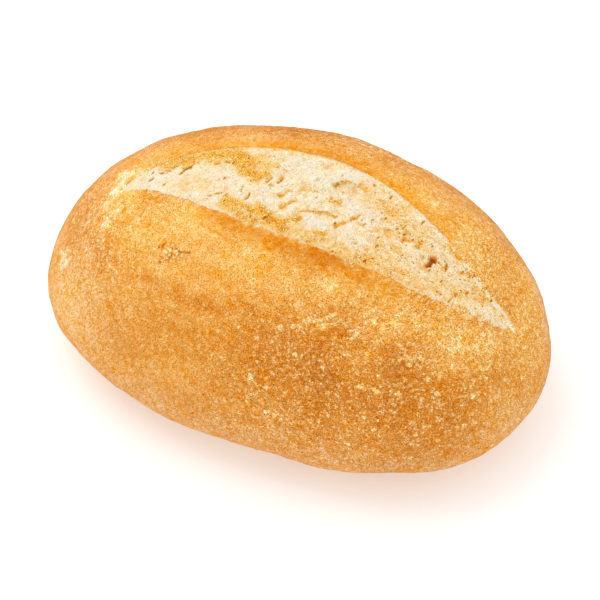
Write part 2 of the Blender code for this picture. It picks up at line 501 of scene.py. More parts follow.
ragged = warp(points, 1.6, 1.1)
on_crease = line_distance(warp(points, 5, 2.0), CREASE)
above_crease = y / MM - np.interp(x, CREASE[:, 0] * MM, CREASE[:, 1])
wrinkled = nearest(ragged, WRINKLES)
cracked = nearest(ragged, CRACKS)
puffed = patch(ragged, CRACKED_BLISTER, (3.2, 1.6, 2.4))
large_bubbles = bubbles(points, 2.7, 0.35, 0.11)
small_bubbles = bubbles(points, 1.7, 0.6, 0.17)
crumbled = bubbles(points, 1.2, 0.9, 0.3) * soft_step(0.15, 0.4, puffed)

folds = BULGE * np.exp(-((above_crease - 5) / 4) ** 2) * patch(points, (0, -23, 40), (26, 9, 9))
folds -= CREASE_DEPTH * np.exp(-(on_crease / 1.6) ** 2) * (1 - 0.7 * soft_step(2 * MM, 12 * MM, x))
folds += WRINKLE_HEIGHT * np.exp(-(wrinkled / 0.5) ** 2)
folds += (BLISTER_HEIGHT + CRUMBLE_HEIGHT * dome(crumbled)) * puffed
folds -= CRACK_DEPTH * np.exp(-(cracked / 0.45) ** 2)
relief = HOLLOWS * rough(points, 18, 2) + DIMPLES * rough(points, 4.5, 3, 0.3) + folds
relief += LARGE_BUBBLE * dome(large_bubbles) + SMALL_BUBBLE * dome(small_bubbles)
on_base = (z < 0.2 * MM) * (normals[:, 2] < -0.9)
pocks = POCK_DEPTH * np.maximum(rough(points, 3, 3, 0.8), 0) * on_base
points += normals * (relief * skin * above_base - pocks)[:, None] * MM
points[:, 2] = np.maximum(points[:, 2], 0)
write_points(crust, points)
print("relief, mm:", round(relief.min(), 2), "to", round(relief.max(), 2))

# %% [markdown]
# ## How brown each place is
#
# The oven browns a roll unevenly, so its crust is a scale of tones from cream to brown. One number
# for each vertex says where on that scale it lies. It could be painted on an image, but numbers
# stored on the mesh as attributes need no unwrapping, and the material reads them directly. A
# few soft blotches, each with its place, reach and strength, make the browning uneven.
# %% Blotches, in mm
BROWN_PLACES = [  # middle, reach, how much
    # Browner blotches.
    ((12.5, -14.5, 47.5), 4.5, 0.12),
    ((16, -29, 33.5), 8, 0.17),
    ((20.5, -31.5, 28), 8, 0.12),
    ((19, -24, 40), 4.5, 0.16),
    ((5.5, -27.5, 38.5), 6, 0.09),
    ((-9.5, -27, 38.5), 3, 0.09),
    ((31, -24.5, 34.5), 5, 0.22),
    ((33, -28.5, 27.5), 7, 0.16),
    ((42, -25, 22), 10, 0.18),
    ((48, -12, 28), 7, 0.08),
    ((32.5, -13, 42), 3, 0.12),
    ((-34.5, -20.5, 34.5), 5, 0.16),
    ((-45, -13.5, 31), 4.5, 0.10),
    ((-28.5, -9.5, 44.5), 3.5, 0.08),
    ((-24, 12, 44), 7, 0.16),
    ((-8, 18, 46), 9, 0.17),
    ((14, 20, 44), 9, 0.10),
    # Paler ones.
    ((-17, -14, 47), 5, -0.18),
    ((-27.5, -17.5, 41), 4.5, -0.09),
    ((-34, -9.5, 42), 5, -0.18),
    ((-49, -12, 26), 3, -0.10),
    ((-38.5, -26, 20), 9, -0.15),
    ((-24.5, -29.5, 28.5), 4, -0.10),
    ((-12, -34, 23.5), 4.5, -0.10),
    ((-3, -20, 45.5), 5, -0.11),
    ((15.5, -18.5, 45), 3, -0.21),
    ((24.5, -15.5, 44), 3, -0.16),
    ((31, -17.5, 40.5), 4.5, -0.12),
    ((40.5, -16, 34.5), 5, -0.14),
    ((46, -11, 31.5), 5, -0.14),
    ((49.5, -3.5, 28), 4, -0.10),
    ((27, -22, 39), 3, -0.08),
    ((25, -33, 21.5), 8, -0.08),
    ((2, 11, 50), 5, -0.06),
    ((17, 10, 48.5), 4, -0.07),
    ((24.5, 8.5, 46.5), 4, -0.13),
    ((35, 4, 42.5), 6, -0.09),
]

# %% [markdown]
# The edge that rises in front of the slash catches the most heat and is scorched. The crease is
# browner, partly from browning and partly as painted shade in its fold. The front below it is
# browner too.
# %% Browning
LIP_SCORCH = on_crown([
    (-15, -12.8), (-8, -14.4), (0.5, -15.4), (11, -15.9), (20, -15), (26, -14.8),
])
EVEN_BROWN = 0.39
SCORCH, CREASE_BROWN_AND_SHADE, FRONT_BROWN = 0.14, 0.10, 0.13
brown = EVEN_BROWN + 0.08 * rough(points, 16, 2, 0.5) + 0.03 * rough(points, 5, 3, 0.9)
scorched = stroke(ragged, LIP_SCORCH, 2.4)
brown += SCORCH * scorched
# Browner along the crease: partly browning, partly painted shade in the fold.
brown += CREASE_BROWN_AND_SHADE * np.exp(-(on_crease / 2.0) ** 2) * soft_step(8 * MM, -6 * MM, x)
for at, reach, much in BROWN_PLACES:
    brown += much * patch(points, at, (reach,) * 3)
low_front = soft_step(2, -6, above_crease) * soft_step(4 * MM, 22 * MM, z) * (y < 0)
brown += FRONT_BROWN * low_front
store(crust, "scorched", scorched)

# %% [markdown]
# The crust is duller and greyer where it curves away from the main view, towards the roll's
# outline, and low on the flank; round the rims it is also a shade browner. No oven does this. It
# is shade seen from one side and matched in the crust's own colour, so a roll that is lit and seen
# in other ways may be better without it. It fades again on the far side. `facing` says how far
# each place is turned towards the camera.
# %% Dusky rims
SEEN_FROM = (0.27, -0.64, 0.72)  # the camera's direction, rounded
END_OVAL, END_OVAL_SHIFT = (55, 44), 8  # half sizes, and how far it lies to the front, in mm
facing = smoothed(crust, read_normals(crust) @ np.array(SEEN_FROM), 13)
facing += 0.10 * rough(points, 9, 3, 0.6)
from_middle = np.hypot(x / MM / END_OVAL[0], (y / MM + END_OVAL_SHIFT) / END_OVAL[1])
left_end = soft_step(0.62, 0.80, from_middle)
left_end *= soft_step(-4 * MM, -16 * MM, x)
low_flank = soft_step(26 * MM, 5 * MM, z)
far_side = soft_step(0.05, -0.35, facing)
dusky = np.max([soft_step(0.55, 0.05, facing), 0.45 * left_end, 0.85 * low_flank], axis=0)
dusky *= 0.95 - 0.75 * far_side
store(crust, "dusky", dusky)
# Painted shade: the rims turned from the camera get a shade browner in the browning map.
rim_shade = 0.06 + 0.04 * soft_step(-10 * MM, -30 * MM, x)
brown += rim_shade * soft_step(0.45, 0.10, facing) * (1 - low_flank)
store(crust, "brown", brown)

# %% [markdown]
# The crust behind the slash is a clear yellow, because it was the last to be stretched, and it
# is rough along its edge. The rim of the tear itself is thin and pale.
# %% Round the slash
behind = beyond_back(x, y) / MM
ahead = beyond_front(x, y) / MM
sunny = soft_step(5.5, 0.5, behind) * soft_step(-0.5, 0.5, behind) * slash_fullness(x)
store(crust, "sunny", sunny)
raw_edge = soft_step(2.4, 0.0, behind) * soft_step(-0.5, 0.2, behind) * np.sqrt(slash_fullness(x))
store(crust, "raw_edge", raw_edge * (1 - 0.5 * soft_step(14 * MM, 22 * MM, x)))
on_top = z > WIDEST_HEIGHT
middle_edge = np.exp(-((x / MM - 3) / 16) ** 4)
rim = soft_step(0.35, -0.2, ahead) * soft_step(0.2, -0.5, behind) * (outside < 0.8 * MM)
store(crust, "rim", rim * on_top)
lightened = soft_step(1.5, 0.0, ahead) * soft_step(0.2, -0.5, behind) * middle_edge
fringe = 0.9 * soft_step(1.3 * MM, 0.1 * MM, outside) * soft_step(26 * MM, 40 * MM, x)
store(crust, "lightened", np.maximum(lightened, fringe) * (outside < 2 * MM) * on_top)

# %% [markdown]
# Flour lies in soft drifts near one tip. Distances to cracks and wrinkles, and depths in bubbles,
# are stored as they are, so that the material can draw them sharper than the mesh is. `blistered`
# says where the skin has most bubbles, and `girth` turns its streaks to run round the end.
# %% Flour, cracks and bubbles
FLOURED = [  # middle, reach
    ((-37.2, -7.3, 40.7), (2.6, 1.4, 2.5)),
    ((-34.7, -11.9, 40.8), (1.5, 2.2, 2)),
    ((-35.6, -4, 42.3), (2.4, 1.2, 2)),
    ((-32.5, -3, 44), (2, 0.7, 2)),
    ((-38.4, -10.5, 38.8), (1.2, 2.2, 2)),
    ((-45, -17.5, 27), (1.6, 2.6, 3.5)),
    ((-37.8, -3.2, 41), (2.2, 2.2, 2.5)),
    ((-36.5, -15, 38), (1.5, 2, 2)),
]
flour = sum(patch(ragged, at, reach) for at, reach in FLOURED)
store(crust, "girth", soft_step(-8 * MM, -30 * MM, x))
# Painted shade: below its smoothed relief the crust is browner, and on the rises paler.
store(crust, "cavity", smoothed(crust, relief, 8) - relief)
store(crust, "flour", flour)
store(crust, "puffed", puffed)
store(crust, "crack", cracked)
store(crust, "wrinkle", wrinkled)
store(crust, "bubble", np.maximum(large_bubbles, small_bubbles))
BLISTERED = [  # middle, reach
    ((33, -24, 30), 20),
    ((42, 5, 34), 14),
    ((10, -32, 26), 14),
    ((-38, -13, 36), 15),
    ((5, 26, 40), 20),
    ((47, -6, 31), 12),
]
blistered = sum(0.8 * patch(points, at, (reach,) * 3) for at, reach in BLISTERED)
store(crust, "blistered", np.clip(0.30 + blistered, 0, 1))

# %% [markdown]
# ## The crumb
#
# The inside of the bread that shows in the slash is torn: a shallow valley behind the lip with
# ridges, pores and a few deep gas pockets. It is a closed slab, a grid bent to the leaf and
# extruded down, whose edge is tucked under the crust. Only its top is subdivided finely.
# %% The bed of the crumb
CRUMB_STEPS, CRUMB_ROWS = 136, 36
CRUMB_CUTS = 3
CRUMB_TUCK = 1.2 * MM
TUCK_SHARE = 0.1
VALLEY_DEPTH = 1.9 * MM
FRONT_DEPTH = 0.5 * MM
BACK_DEPTH = 0.1 * MM
TIP_SUNK = 0.5 * MM
SLAB_DEPTH = 5.0 * MM
TUCK_DROP = 0.8 * MM


def crumb_points(share, side):
    """The crumb's smooth bed: side runs past -1 and 1 where it is tucked under the crust."""
    within = np.clip(side, -1, 1)
    x, y = across_slash(share, within)
    beyond = np.maximum(np.abs(side) - 1, 0) / TUCK_SHARE
    y = y + np.sign(side) * beyond * CRUMB_TUCK
    fullness = slash_fullness(x)
    front = FRONT_DEPTH * fullness
    edge = front + (BACK_DEPTH - front) * (within + 1) / 2
    depth = edge + (VALLEY_DEPTH - edge) * (1 - within ** 2) * (1 - 0.35 * within) * fullness
    depth += TIP_SUNK * soft_step(0.06, 0.0, fullness)
    return np.stack([x, y, crown_height(x, y) - depth - beyond * TUCK_DROP], axis=1)


start_fresh()
bpy.ops.mesh.primitive_grid_add(x_subdivisions=CRUMB_STEPS, y_subdivisions=CRUMB_ROWS, size=2)
crumb = bpy.context.object
crumb.name = "crumb"
crumb.data.name = "crumb"
edit(crumb)
bpy.ops.mesh.select_all(action="SELECT")
bpy.ops.mesh.extrude_region_move(TRANSFORM_OT_translate={"value": (0, 0, -1)})
face_outwards()
bpy.ops.mesh.select_all(action="DESELECT")
bpy.ops.object.mode_set(mode="OBJECT")
for face in crumb.data.polygons:
    face.select = face.normal.z > 0.5
bpy.ops.object.mode_set(mode="EDIT")
bpy.ops.mesh.subdivide(number_cuts=CRUMB_CUTS)
bpy.ops.object.mode_set(mode="OBJECT")
flat = read_points(crumb)
is_top = flat[:, 2] > -0.5
bed = crumb_points(np.clip((flat[:, 0] + 1) / 2, 0, 1), flat[:, 1] * (1 + TUCK_SHARE))
bed[:, 2] -= np.where(is_top, 0, SLAB_DEPTH)
print("crumb:", len(crumb.data.polygons), "faces")

# %% [markdown]
# Tearing leaves a different surface from place to place. Near one tip the knife went through
# cleanly and the crumb is smooth with a few slits; in the middle it tore into lumps and sheets
# that follow the slash; towards the other tip it is full of fine pores. The largest pores,
# slits and lumps are placed one by one, and noise gives the rest.
# %% Places in the crumb, in mm
TEARS = [  # line, width, depth, browning
    ([(-24.6, -3.3), (-24, -1.9), (-22.8, -0.6)], 0.45, 0.9, 0.45),
    ([(-19.9, 0.2), (-19.3, 0.3)], 0.25, 0.5, 0.30),
    ([(-18.3, 0), (-17.8, 0.1)], 0.25, 0.5, 0.30),
    ([(-16.2, 0.4), (-15.5, 0.6)], 0.25, 0.5, 0.30),
    ([(-14.8, 0.9), (-14.2, 0.9)], 0.25, 0.5, 0.30),
    ([(-30.6, -5.3), (-30.2, -4.6)], 0.22, 0.8, 0.10),
    ([(-27.6, -3.6), (-27.2, -2.9)], 0.25, 0.4, 0.20),
    ([(-16.3, -8.1), (-15.9, -7.8)], 0.30, 0.6, 0.35),
    ([(-15.1, -7.4), (-14.6, -7)], 0.22, 0.5, 0.30),
    ([(-13.2, -7.3), (-12.7, -6.8)], 0.22, 0.5, 0.25),
    ([(-10.2, -5.8), (-10.1, -4.6)], 0.22, 0.6, 0.30),
    ([(-8.7, -7.5), (-8.2, -5.4)], 0.25, 0.7, 0.40),
    ([(-6, -2.4), (-5.6, -1)], 0.25, 0.6, 0.35),
    ([(-3.9, -1.6), (-3.4, 0.2)], 0.32, 0.7, 0.45),
    ([(-5.2, -2.7), (-4.5, -2.5)], 0.25, 0.4, 0.30),
    ([(-2.8, -4.3), (-1.5, -4)], 0.50, 0.2, 0.50),
    ([(-1.4, -3), (-0.4, -2.4)], 0.30, 0.2, 0.35),
    ([(-0.4, -6.9), (0.2, -5.6), (0.9, -4.5)], 0.55, 0.4, 0.50),
    ([(2.1, -9.2), (3.5, -8.8)], 0.55, 0.2, 0.60),
    ([(2.4, -3), (3.1, -1.8), (4.4, -1.2)], 0.28, 0.2, 0.35),
    (
        [(2.9, -7.6), (3.6, -6.4), (5.3, -5.9), (6.9, -5.6), (8.3, -4.9), (9.4, -4.7)],
        0.35, 0.4, 0.45,
    ),
    ([(7.9, -5), (9.3, -4.7)], 0.50, 0.2, 0.25),
    ([(7.9, -10.6), (9.3, -10.2)], 0.50, 0.2, 0.70),
    ([(7, 2), (8, 3.3), (9.1, 4), (10.9, 4)], 0.32, 0.4, 0.50),
    ([(10.9, 4), (13.2, 4)], 0.60, 0.1, 0.40),
    ([(11, 4.7), (11.5, 5)], 0.22, 0.5, 0.20),
    ([(7.6, -2.1), (9.3, -1.4)], 0.45, 0.1, 0.50),
    ([(7.3, -1.4), (7.6, -1.2)], 0.25, 0.5, 0.20),
    ([(12.9, -4.8), (13.5, -3.6), (14.4, -2.3)], 0.35, 0.3, 0.45),
    ([(15.1, -5.1), (15.6, -4.9)], 0.45, 0.2, 0.45),
    ([(13.9, 6.1), (14.3, 5.7)], 0.25, 0.6, 0.20),
    ([(16.4, 5.2), (16.8, 5)], 0.25, 0.5, 0.20),
    ([(17.7, -5.4), (18, -5.2)], 0.25, 0.5, 0.20),
    ([(15.9, -9.3), (16.2, -9.1)], 0.25, 0.6, 0.25),
    ([(23.8, -3.4), (24.6, -3), (25.6, -2.7)], 0.35, 0.5, 0.20),
    ([(26.4, -3.3), (27.2, -2.6)], 0.40, 0.5, 0.30),
    ([(26.9, -3.4), (27.4, -2.9)], 0.25, 0.9, 0.20),
    ([(7, 2.2), (7.5, 2.8)], 0.22, 0.8, 0.20),
    ([(-29, -3.7), (-27.6, -2.8)], 0.22, 0.8, 0.30),
    ([(-26.8, -2.2), (-25.6, -1.5)], 0.22, 0.8, 0.30),
    ([(32.2, 0.7), (33.8, -0.4), (34.9, -0.3)], 0.35, 0.4, 0.50),
    ([(31.6, -4.1), (32.8, -4.1)], 0.30, 0.2, 0.45),
    ([(33, -4.1), (33.2, -3.5)], 0.35, 0.9, 0.60),
    ([(41.3, -3), (41.8, -4.2), (41.6, -5.6)], 0.35, 0.3, 0.35),
]
POCKETS = [  # middle, half sizes, turn, depth, browning
    ((9.6, 2), (2.6, 1.7), 10, 0.4, 0),
    ((11.6, -6.3), (2, 0.9), 50, 0.4, 0.45),
    ((40.3, -4.5), (1.6, 1.8), 0, 0.4, 0.15),
    ((30.5, -3.8), (1.20, 1.00), 0, 2.2, 0.6),
    ((30.2, -5.1), (0.80, 1.20), 10, 2.2, 0.6),
]
RIDGES = [  # line, width, height
    ([(21, -0.8), (26.8, -1), (30.5, -1.6), (35, -3.4)], 0.9, 0.45),
    ([(12.8, -5.9), (17.5, -6), (23, -5.6)], 1, 0.30),
    ([(-5.5, -7.2), (-1, -9.2), (2.2, -11)], 0.6, 0.30),
    ([(1, -4), (1.4, -7.5)], 0.7, 0.30),
    ([(4, 0), (6, 1.2), (6.5, 3.4)], 1, 0.30),
]
CREASES = [  # line, width, depth
    ([(13.5, -3.2), (17.5, -4), (21, -3.6), (24.3, -2.9), (27.2, -2.7), (30.2, -3.4)], 1, 0.45),
    ([(7.6, 1.2), (9.6, 2.4), (12, 2)], 1.3, 0.40),
    ([(4.5, -7.2), (7, -6.6), (9, -6.2)], 0.9, 0.30),
    ([(-13, -7), (-9, -6.6), (-5, -5.8)], 1.2, 0.25),
]
LUMPS = [  # middle, reach, height
    ((6.7, -8), (2.6, 1.6), 0.6),
    ((-10, -10.4), (2, 0.8), 0.4),
    ((-5.5, -10.8), (2.5, 0.8), 0.4),
    ((28.5, -1), (4, 0.9), 0.4),
    ((3, 1.5), (5, 3), 0.4),
    ((17.5, -7.5), (5, 1.8), 0.4),
    ((36, -6.5), (5, 1.6), 0.3),
]
BOWL_EDGE, BOWL_FLOOR = 1.1, 0.5
RIM_AT, RIM_WIDTH = 1.15, 0.25


def bowl(points, at, sizes, turn):
    """Depth of an oval pocket, from 0 at its rim to 1 at its floor, and the rim round it."""
    away = points[:, :2] / MM - np.array(at)
    cos, sin = math.cos(math.radians(turn)), math.sin(math.radians(turn))
    along = (away[:, 0] * cos + away[:, 1] * sin) / sizes[0]
    across = (away[:, 1] * cos - away[:, 0] * sin) / sizes[1]
    level = np.hypot(along, across)
    rim = np.exp(-((level - RIM_AT) / RIM_WIDTH) ** 2)
    return soft_step(BOWL_EDGE, BOWL_FLOOR, level), rim


# %% [markdown]
# Sheets of torn crumb are noise folded at its middle by `abs`, which leaves sharp crests. They are
# drawn out across the slash where it tore widest, and along it at the far end. What rises and
# what sinks are kept apart, because the material paints shade into holes by their depth.
# %% What rises
x, y = bed[:, 0], bed[:, 1]
ragged = warp(bed, 1.5, 0.45)
inside = np.clip(-beyond_slash(x, y) / (1.5 * MM), 0, 1)
torn = soft_step(-24 * MM, -6 * MM, x)
far = soft_step(10 * MM, 20 * MM, x)
across = drawn_out(ragged, 65, 0.5)
along = drawn_out(ragged, -3, 0.45)
sheets = (0.55 - 2 * np.abs(rough(across, 3.2, 4, 0.4))) * (1 - far)
sheets += (0.55 - 2 * np.abs(rough(along, 2.4, 4, 0.9))) * far
pores = bubbles(across, 1.5, 0.5, 0.3) * (1 - far) + bubbles(along, 1.2, 0.6, 0.3) * far
large_pores = bubbles(across, 3.4, 0.35, 0.6) * (1 - far) + bubbles(along, 2.6, 0.3, 0.6) * far

rise = 0.35 * rough(ragged, 6, 3, 0.7) * (0.4 + 0.6 * torn)
rise += 0.32 * sheets * (0.1 + 0.9 * torn) + 0.06 * rough(ragged, 0.9, 3, 0.1)
for at, reach, much in LUMPS:
    rise += much * patch(ragged, at, reach)
for line, width, much in RIDGES:
    rise += much * stroke(ragged, line, width)
for line, width, much in CREASES:
    rise -= much * stroke(ragged, line, width)
print("rise, mm:", round(rise.min(), 2), "to", round(rise.max(), 2))

# %% [markdown]
# Each tear is a slit that breaks off here and there. Its floor is deepest and gets a dark
# painted shade, and its mouth is browned, as the oven's air dries a thin edge first. Pockets have
# a raised rim.
# %% What sinks
holes = 0.16 * dome(pores) * (0.2 + 0.8 * torn) + 0.20 * dome(large_pores) * torn
mouths = np.zeros(len(bed))
slit_shade = np.zeros(len(bed))
broken = np.clip(0.7 + 3 * rough(bed, 0.9, 2, 0.7), 0, 1)
for line, width, much, browned in TEARS:
    away = line_distance(ragged, line) / (width * (0.5 + 0.7 * broken))
    holes = np.maximum(holes, 0.6 * much * np.exp(-away ** 2))
    mouths = np.maximum(mouths, browned * np.exp(-(away / 1.3) ** 2))
    # Painted shade: a dark line down the floor of each slit, by its depth.
    slit_shade = np.maximum(slit_shade, 1.1 * (much - 0.15) * np.exp(-(away * max(width, 0.3) / 0.26) ** 2))
for at, sizes, turn, much, browned in POCKETS:
    depth, rim = bowl(ragged, at, sizes, turn)
    holes = np.maximum(holes, much * depth)
    mouths = np.maximum(mouths, browned * np.maximum(depth, 0.4 * rim))
    rise += 0.12 * rim
relief = (rise * inside - holes * (0.3 + 0.7 * inside)) * is_top
bed[:, 2] += relief * np.sqrt(slash_fullness(x)) * MM
write_points(crumb, bed)
print("crumb relief, mm:", round(relief.min(), 2), "to", round(relief.max(), 2))

# %% [markdown]
# The crumb is cream, and toasted wherever it stands high or is thin: in a patch and a strip near
# one end, in a golden band behind the lip, along the back edge, and in the mouths of the tears.
# %% Toasted places, in mm
TOASTED = [  # line, width, how much
    # The golden patch and the strip in front of it.
    ([(-28, -1.6), (-23.5, 0.6), (-18, 2.7), (-14.6, 3.3)], 1.5, 0.60),
    ([(-13.8, 0.9), (-12, 1.3)], 1.2, 0.34),
    ([(-11.8, -0.4), (-9, -1)], 1.4, 0.36),
    ([(-12, -0.9), (-6.4, -0.9)], 0.6, 0.25),
    ([(-13.5, 2.4), (-9.4, 2.4), (-7, 1)], 1.6, 0.28),
    ([(-9, -2.3), (-7.5, -1.8), (-6.6, -0.2)], 0.7, 0.25),
    ([(-6.1, 1.9), (-3.6, 2.2)], 0.4, 0.35),
    ([(-12.2, -8.3), (-9.6, -9.1), (-7, -9.3), (-3.9, -9.7), (0.8, -10.9)], 1.1, 0.70),
    ([(-5.5, -7.8), (-4, -8.8), (-1.9, -10)], 0.9, 0.30),
    ([(-5, -10.2), (-2, -11)], 0.9, 0.20),
    ([(-12.5, -9.8), (-9, -11), (-6.5, -12.1), (-4.5, -12.3)], 0.9, 0.42),
    # Faint golden blotches.
    ([(-22.5, -5.5), (-15, -5), (-10, -6.5)], 2.2, 0.07),
    ([(-7, 7), (-5, 7)], 1.5, 0.09),
    ([(2.5, -6), (3.5, -4.5)], 1.3, 0.08),
    ([(14.5, -0.8), (14.5, 1.8), (20, 1.2)], 1.4, 0.18),
    ([(19, -3.8), (24, -3), (27, -2.8)], 1, 0.10),
    ([(20.5, -1), (22.5, -1)], 1.5, 0.16),
    ([(20, -8.5), (21, -8.5)], 1.2, 0.09),
    ([(37.5, -7.8), (38.5, -6.5)], 1.2, 0.20),
    # Pale, flour-white ones.
    ([(-6, -1), (-0.5, -1)], 1.8, -0.10),
    ([(1, 3.5), (6, 4.5)], 2.5, -0.10),
    ([(8, -9.7), (10, -7.5), (14, -7.7)], 1.7, -0.15),
    ([(10.5, 0), (12, 0)], 1.6, -0.09),
    ([(17, 3.7), (20, 3.7)], 1.2, -0.12),
    ([(21, -5.3), (25, -3.5), (28.5, -5.5), (30.5, -8.5)], 1.4, -0.10),
    ([(22.5, -11.8), (25, -9.5)], 1.6, -0.15),
    ([(27.5, -1), (30, -1.7)], 1.3, -0.10),
    ([(38.5, -4.3), (40, -4.2)], 1.3, -0.20),
    ([(43.5, -6.2), (44.5, -6)], 1.2, -0.18),
]

# %% [markdown]
# All of it adds up to one map, as on the crust. Where several strokes overlap, `tanh` keeps the
# sum from going much past gold.
# %% Toast
CREAM = 0.165
TOAST_KNEE, TOAST_REACH, TOAST_SPREAD = 0.5, 0.30, 0.35
back_edge = beyond_back(ragged[:, 0], ragged[:, 1]) / MM
front_edge = beyond_front(ragged[:, 0], ragged[:, 1]) / MM
ends = soft_step(14 * MM, 20 * MM, x)
toast = CREAM + 0.09 * ends + 0.20 * rough(ragged, 4, 3, 0.25)
# Mouths are toasted; holes go a little further up the scale by their depth, as painted shade.
toast += mouths + 0.2 * np.minimum(holes, 0.6)
toast += 0.22 * soft_step(-1.0, 0, back_edge) * (1 - ends) * soft_step(-32 * MM, -24 * MM, x)
along_lip = soft_step(-8, -2, x / MM) * soft_step(32, 20, x / MM)
toast += 0.24 * soft_step(-5.0, -3.0, front_edge) * along_lip
toast -= (0.14 * soft_step(-2.0, -0.5, back_edge) + 0.08 * soft_step(-2.0, -0.5, front_edge)) * ends
near_edge = soft_step(-2.0, -0.3, np.maximum(back_edge, front_edge)) * soft_step(30, 40, x / MM)
toast += 0.5 * soft_step(0.0, 0.25, rough(bed, 1.6, 2, 0.45)) * near_edge
for line, width, much in TOASTED:
    toast += much * stroke(ragged, line, width)
capped = TOAST_KNEE + TOAST_REACH * np.tanh((toast - TOAST_KNEE) / TOAST_SPREAD)
toast = np.where(toast > TOAST_KNEE, capped, toast)
store(crumb, "toast", np.clip(toast, 0, 1))
store(crumb, "hole", holes)
store(crumb, "slot", slit_shade)
store(crumb, "porous", soft_step(10 * MM, 24 * MM, x))
# For painted shade: how far each place of the crumb lies below its smoothed relief.
store(crumb, "cavity", smoothed(crumb, relief, 30) - relief)

# %% [markdown]
# ## Into place
#
# Both pieces were shaped round the loaf's own middle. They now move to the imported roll's place,
# and their normals are turned outwards once more, because the relief moved every face.
# %% Bring both pieces to the frame
shift = Vector(((low.x + high.x) / 2 - MIDDLE[0], (low.y + high.y) / 2 - MIDDLE[1], 0))
for piece in (crust, crumb):
    write_points(piece, read_points(piece) + np.array(shift))
    edit(piece)
    face_outwards()
    bpy.ops.object.mode_set(mode="OBJECT")
    piece.data.shade_smooth()
    print(piece.name, "size, mm:", np.round(np.ptp(read_points(piece), axis=0) / MM, 1))


# %% [markdown]
# ## Finishes
#
# A material is a graph of nodes, but its masks read best as formulas. `Value` wraps one socket,
# so that `1 - mask` or `a * 0.5 + b` adds the Math nodes itself. `Finish` holds one material and
# adds every other node through one method.
# %% A small language for materials
class Value:
    """One socket of a material, for use in ordinary arithmetic."""

    def __init__(self, finish, socket):
        self.finish = finish
        self.socket = socket

    def math(self, operation, first, second):
        return self.finish.node("Math", {"operation": operation}, {0: first, 1: second})

    def __add__(self, other):
        return self.math("ADD", self, other)

    def __sub__(self, other):
        return self.math("SUBTRACT", self, other)

    def __rsub__(self, other):
        return self.math("SUBTRACT", other, self)

    def __mul__(self, other):
        return self.math("MULTIPLY", self, other)

    def __truediv__(self, other):
        return self.math("DIVIDE", self, other)

    __radd__ = __add__
    __rmul__ = __mul__


